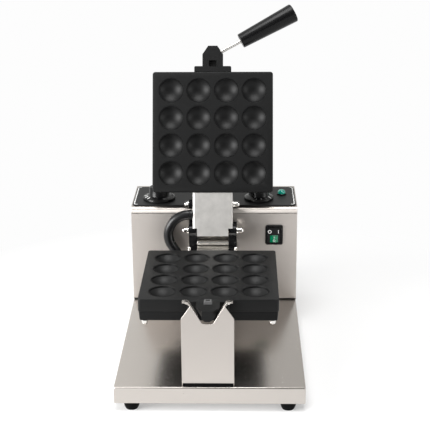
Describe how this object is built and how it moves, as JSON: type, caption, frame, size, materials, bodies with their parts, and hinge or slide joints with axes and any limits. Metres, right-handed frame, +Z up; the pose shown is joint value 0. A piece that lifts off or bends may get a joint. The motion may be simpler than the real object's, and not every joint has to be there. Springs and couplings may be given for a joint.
{
  "type": "walnut cake maker",
  "caption": "Table-top walnut cake maker: two hinged square moulds of round cups on a turning shaft, in front of a steel control box with knobs, on a base with a cradle.",
  "frame": {"origin": "on the floor, under the middle of the whole machine with its lid open", "axes": "+Z up, +Y from the cook towards the control box, +X to the cook's right"},
  "size_m": [0.2796, 0.4575, 0.5248],
  "materials": {
    "satin_stainless": "satin brushed stainless steel sheet",
    "frosted_stainless": "bead blasted stainless steel sheet",
    "bright_steel": "bright polished steel",
    "dark_coated_aluminium": "cast aluminium with a dark non-stick coating",
    "black_coated_steel": "black coated steel",
    "panel_black": "matt black coated panel",
    "gloss_black": "glossy black moulded plastic",
    "pilot_green": "clear green lens",
    "rocker_green": "clear green window",
    "black_rubber": "black rubber",
    "brass": "plain brass",
    "white_moulding": "white heat-proof moulding",
    "element_sheath": "dull grey element sheath"
  },
  "bodies": {
    "machine": {"base_tray": "satin_stainless", "base_bottom_plate": "satin_stainless", "foot_front_left": "black_rubber", "foot_front_right": "black_rubber", "foot_rear_left": "black_rubber", "foot_rear_right": "black_rubber", "cradle_support": "satin_stainless", "nose_guide_left": "bright_steel", "nose_guide_right": "bright_steel", "control_box_shell": "satin_stainless", "control_box_hood": "satin_stainless", "control_box_rear_cover": "satin_stainless", "control_panel_plate": "panel_black", "pilot_light_ring": "gloss_black", "pilot_light_lens": "pilot_green", "rocker_switch_housing": "gloss_black", "thermostat_body": "white_moulding", "timer_body": "white_moulding", "terminal_block": "white_moulding", "cable_gland": "gloss_black", "shaft_bush_front": "brass", "front_bearing_ring": "bright_steel", "shaft_bush_rear": "brass", "bearing_stand": "satin_stainless"},
    "thermostat_dial": {"thermostat_knob": "gloss_black", "thermostat_spindle": "bright_steel"},
    "timer_dial": {"timer_knob": "gloss_black", "timer_spindle": "bright_steel"},
    "rocker": {"power_rocker": "gloss_black", "rocker_lens": "rocker_green"},
    "rotor": {"rotary_shaft": "bright_steel", "shaft_collar": "satin_stainless", "hinge_bracket": "satin_stainless", "hinge_ear_left": "black_coated_steel", "hinge_ear_right": "black_coated_steel", "hinge_tie_bar": "bright_steel", "hinge_pin": "bright_steel", "lower_mould_plate": "dark_coated_aluminium", "lower_nose": "dark_coated_aluminium", "lower_casing": "black_coated_steel", "lower_heating_element": "element_sheath", "lead_conduit": "black_rubber", "conduit_gland_upper": "gloss_black", "conduit_gland_lower": "gloss_black"},
    "lid": {"upper_mould_plate": "dark_coated_aluminium", "upper_nose": "dark_coated_aluminium", "upper_casing": "black_coated_steel", "upper_heating_element": "element_sheath", "upper_hinge_arm": "frosted_stainless", "hinge_knuckle": "satin_stainless", "upper_hinge_lug": "dark_coated_aluminium", "upper_arm_bolt": "bright_steel", "arm_bolt_washer": "black_rubber", "handle_rod": "bright_steel", "handle_grip": "gloss_black"}
  },
  "joints": [
    {"name": "thermostat_turn", "type": "hinge", "parent": "machine", "child": "thermostat_dial", "pos_m": [-0.0944, 0.141, 0.2], "axis": [0, 0, 1], "range_deg": [-270, 0]},
    {"name": "timer_turn", "type": "hinge", "parent": "machine", "child": "timer_dial", "pos_m": [0.0753, 0.141, 0.2], "axis": [0, 0, 1], "range_deg": [-300, 0]},
    {"name": "power_switch", "type": "hinge", "parent": "machine", "child": "rocker", "pos_m": [0.1008, 0.1005, 0.1563], "axis": [1, 0, 0], "range_deg": [0, 14]},
    {"name": "mould_flip", "type": "hinge", "parent": "machine", "child": "rotor", "pos_m": [-0.002, 0.1, 0.157], "axis": [0, 1, 0], "range_deg": [-3.5, 3.5]},
    {"name": "lid_hinge", "type": "hinge", "parent": "rotor", "child": "lid", "pos_m": [-0.002, 0.0825, 0.1704], "axis": [1, 0, 0], "range_deg": [0, 110]}
  ]
}
